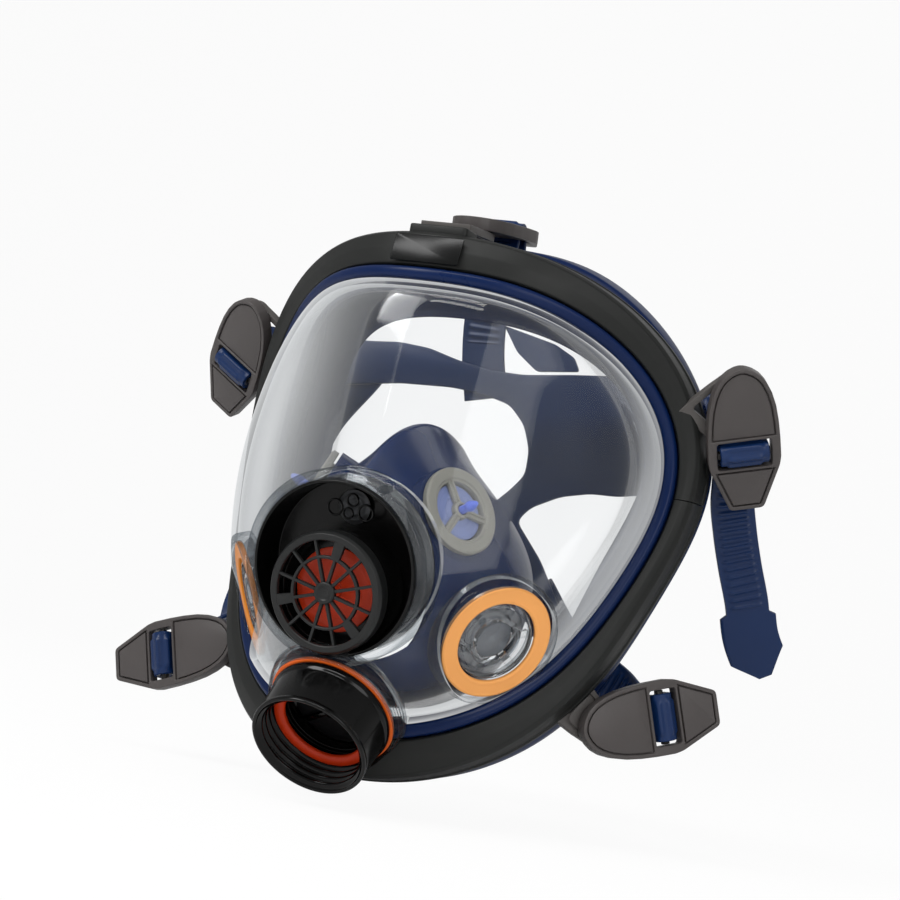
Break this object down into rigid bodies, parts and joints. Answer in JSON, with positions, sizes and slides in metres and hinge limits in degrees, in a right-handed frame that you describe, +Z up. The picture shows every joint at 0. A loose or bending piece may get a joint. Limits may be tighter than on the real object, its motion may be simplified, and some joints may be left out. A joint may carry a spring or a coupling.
{
  "type": "full-face respirator",
  "caption": "Full-face respirator: clear panoramic visor in a clamp frame, soft face seal and nose cup, exhale housing, threaded filter port, side ports and a buckled head harness.",
  "frame": {"origin": "centre of the overall bounding box", "axes": "+Z up as worn, -Y the direction the wearer looks, +X towards the wearer's left"},
  "size_m": [0.261, 0.1728, 0.2328],
  "materials": {
    "lens_clear": "clear polished",
    "insert_clear": "clear moulded",
    "frame_black": "satin moulded",
    "housing_black": "semi-gloss moulded",
    "port_black": "semi-gloss moulded",
    "grille_grey": "satin moulded",
    "buckle_grey": "fine satin moulded",
    "bracket_grey": "fine satin moulded",
    "silicone_navy": "smooth semi-gloss moulded",
    "strap_navy": "satin moulded, ribbed",
    "gasket_orange": "smooth moulded",
    "gasket_light": "smooth moulded",
    "valve_red": "smooth moulded",
    "valve_blue": "smooth moulded, translucent look",
    "valve_dark": "smooth moulded",
    "valve_pale": "smooth moulded, translucent look",
    "seat_grey": "satin moulded",
    "steel": "plated",
    "diaphragm": "thin foil",
    "name_plate": "plain gloss, blank"
  },
  "bodies": {
    "mask": {"visor": "lens_clear", "bezel_upper": "frame_black", "bezel_lower": "frame_black", "bezel_screw_left": "steel", "bezel_screw_right": "steel", "face_seal": "silicone_navy", "nose_cup": "silicone_navy", "exhale_housing": "housing_black", "speech_cover": "housing_black", "speech_diaphragm": "diaphragm", "filter_port_body": "port_black", "filter_port_seal": "valve_red", "filter_port_gasket": "gasket_orange", "head_harness": "strap_navy", "name_plate": "name_plate", "check_valve_seat_left": "seat_grey", "side_port_gasket_left": "gasket_light", "side_port_insert_left": "insert_clear", "check_valve_seat_right": "seat_grey", "side_port_gasket_right": "gasket_light", "side_port_insert_right": "insert_clear", "buckle_rivet_top": "steel", "buckle_bracket_top": "bracket_grey", "buckle_rivet_upper_left": "steel", "buckle_bracket_upper_left": "bracket_grey", "buckle_rivet_upper_right": "steel", "buckle_bracket_upper_right": "bracket_grey", "buckle_rivet_lower_left": "steel", "buckle_bracket_lower_left": "bracket_grey", "buckle_rivet_lower_right": "steel", "buckle_bracket_lower_right": "bracket_grey"},
    "buckle_top": {"buckle_body_top": "buckle_grey", "strap_bar_top": "frame_black", "strap_end_top": "strap_navy"},
    "buckle_upper_left": {"buckle_body_upper_left": "buckle_grey", "strap_bar_upper_left": "frame_black", "strap_end_upper_left": "strap_navy"},
    "buckle_upper_right": {"buckle_body_upper_right": "buckle_grey", "strap_bar_upper_right": "frame_black", "strap_end_upper_right": "strap_navy"},
    "buckle_lower_left": {"buckle_body_lower_left": "buckle_grey", "strap_bar_lower_left": "frame_black", "strap_end_lower_left": "strap_navy"},
    "buckle_lower_right": {"buckle_body_lower_right": "buckle_grey", "strap_bar_lower_right": "frame_black", "strap_end_lower_right": "strap_navy"},
    "grille": {"exhale_grille": "grille_grey"},
    "exhale_valve": {"exhale_valve_disc": "valve_red"},
    "port_valve": {"filter_port_valve_disc": "valve_dark"},
    "check_valve_left": {"check_valve_disc_left": "valve_blue"},
    "side_valve_left": {"side_port_valve_disc_left": "valve_pale"},
    "check_valve_right": {"check_valve_disc_right": "valve_blue"},
    "side_valve_right": {"side_port_valve_disc_right": "valve_pale"}
  },
  "joints": [
    {"name": "buckle_swivel_top", "type": "hinge", "parent": "mask", "child": "buckle_top", "pos_m": [0.00498, -0.00477, 0.10793], "axis": [0, -0.12, 0.9928], "range_deg": [-30, 30]},
    {"name": "buckle_swivel_upper_left", "type": "hinge", "parent": "mask", "child": "buckle_upper_left", "pos_m": [0.11568, 0.01503, 0.05833], "axis": [0.4803, -0.7404, -0.4703], "range_deg": [0, 60]},
    {"name": "buckle_swivel_upper_right", "type": "hinge", "parent": "mask", "child": "buckle_upper_right", "pos_m": [-0.09722, 0.01384, 0.06253], "axis": [-0.3076, -0.8218, -0.4796], "range_deg": [-60, 0]},
    {"name": "buckle_swivel_lower_left", "type": "hinge", "parent": "mask", "child": "buckle_lower_left", "pos_m": [0.08758, 0.00383, -0.07627], "axis": [0.7219, -0.6869, 0.0834], "range_deg": [-40, 30]},
    {"name": "buckle_swivel_lower_right", "type": "hinge", "parent": "mask", "child": "buckle_lower_right", "pos_m": [-0.08182, 0.00743, -0.07177], "axis": [-0.1465, -0.986, 0.0798], "range_deg": [-40, 40]},
    {"name": "grille_twist", "type": "hinge", "parent": "mask", "child": "grille", "pos_m": [0.00498, -0.07574, -0.04421], "axis": [0, -0.9719, -0.2356], "range_deg": [0, 30]},
    {"name": "exhale_valve_lift", "type": "slide", "parent": "mask", "child": "exhale_valve", "axis": [0, -0.9719, -0.2356], "range_m": [0, 0.002]},
    {"name": "port_valve_lift", "type": "slide", "parent": "mask", "child": "port_valve", "axis": [0, 0.7328, 0.6804], "range_m": [0, 0.0025]},
    {"name": "check_valve_left_lift", "type": "slide", "parent": "mask", "child": "check_valve_left", "axis": [-0.8188, 0.4261, -0.3848], "range_m": [0, 0.0025]},
    {"name": "side_valve_left_lift", "type": "slide", "parent": "mask", "child": "side_valve_left", "axis": [-0.7638, 0.5257, 0.3746], "range_m": [0, 0.002]},
    {"name": "check_valve_right_lift", "type": "slide", "parent": "mask", "child": "check_valve_right", "axis": [0.8188, 0.4261, -0.3848], "range_m": [0, 0.0025]},
    {"name": "side_valve_right_lift", "type": "slide", "parent": "mask", "child": "side_valve_right", "axis": [0.7638, 0.5257, 0.3746], "range_m": [0, 0.002]}
  ]
}
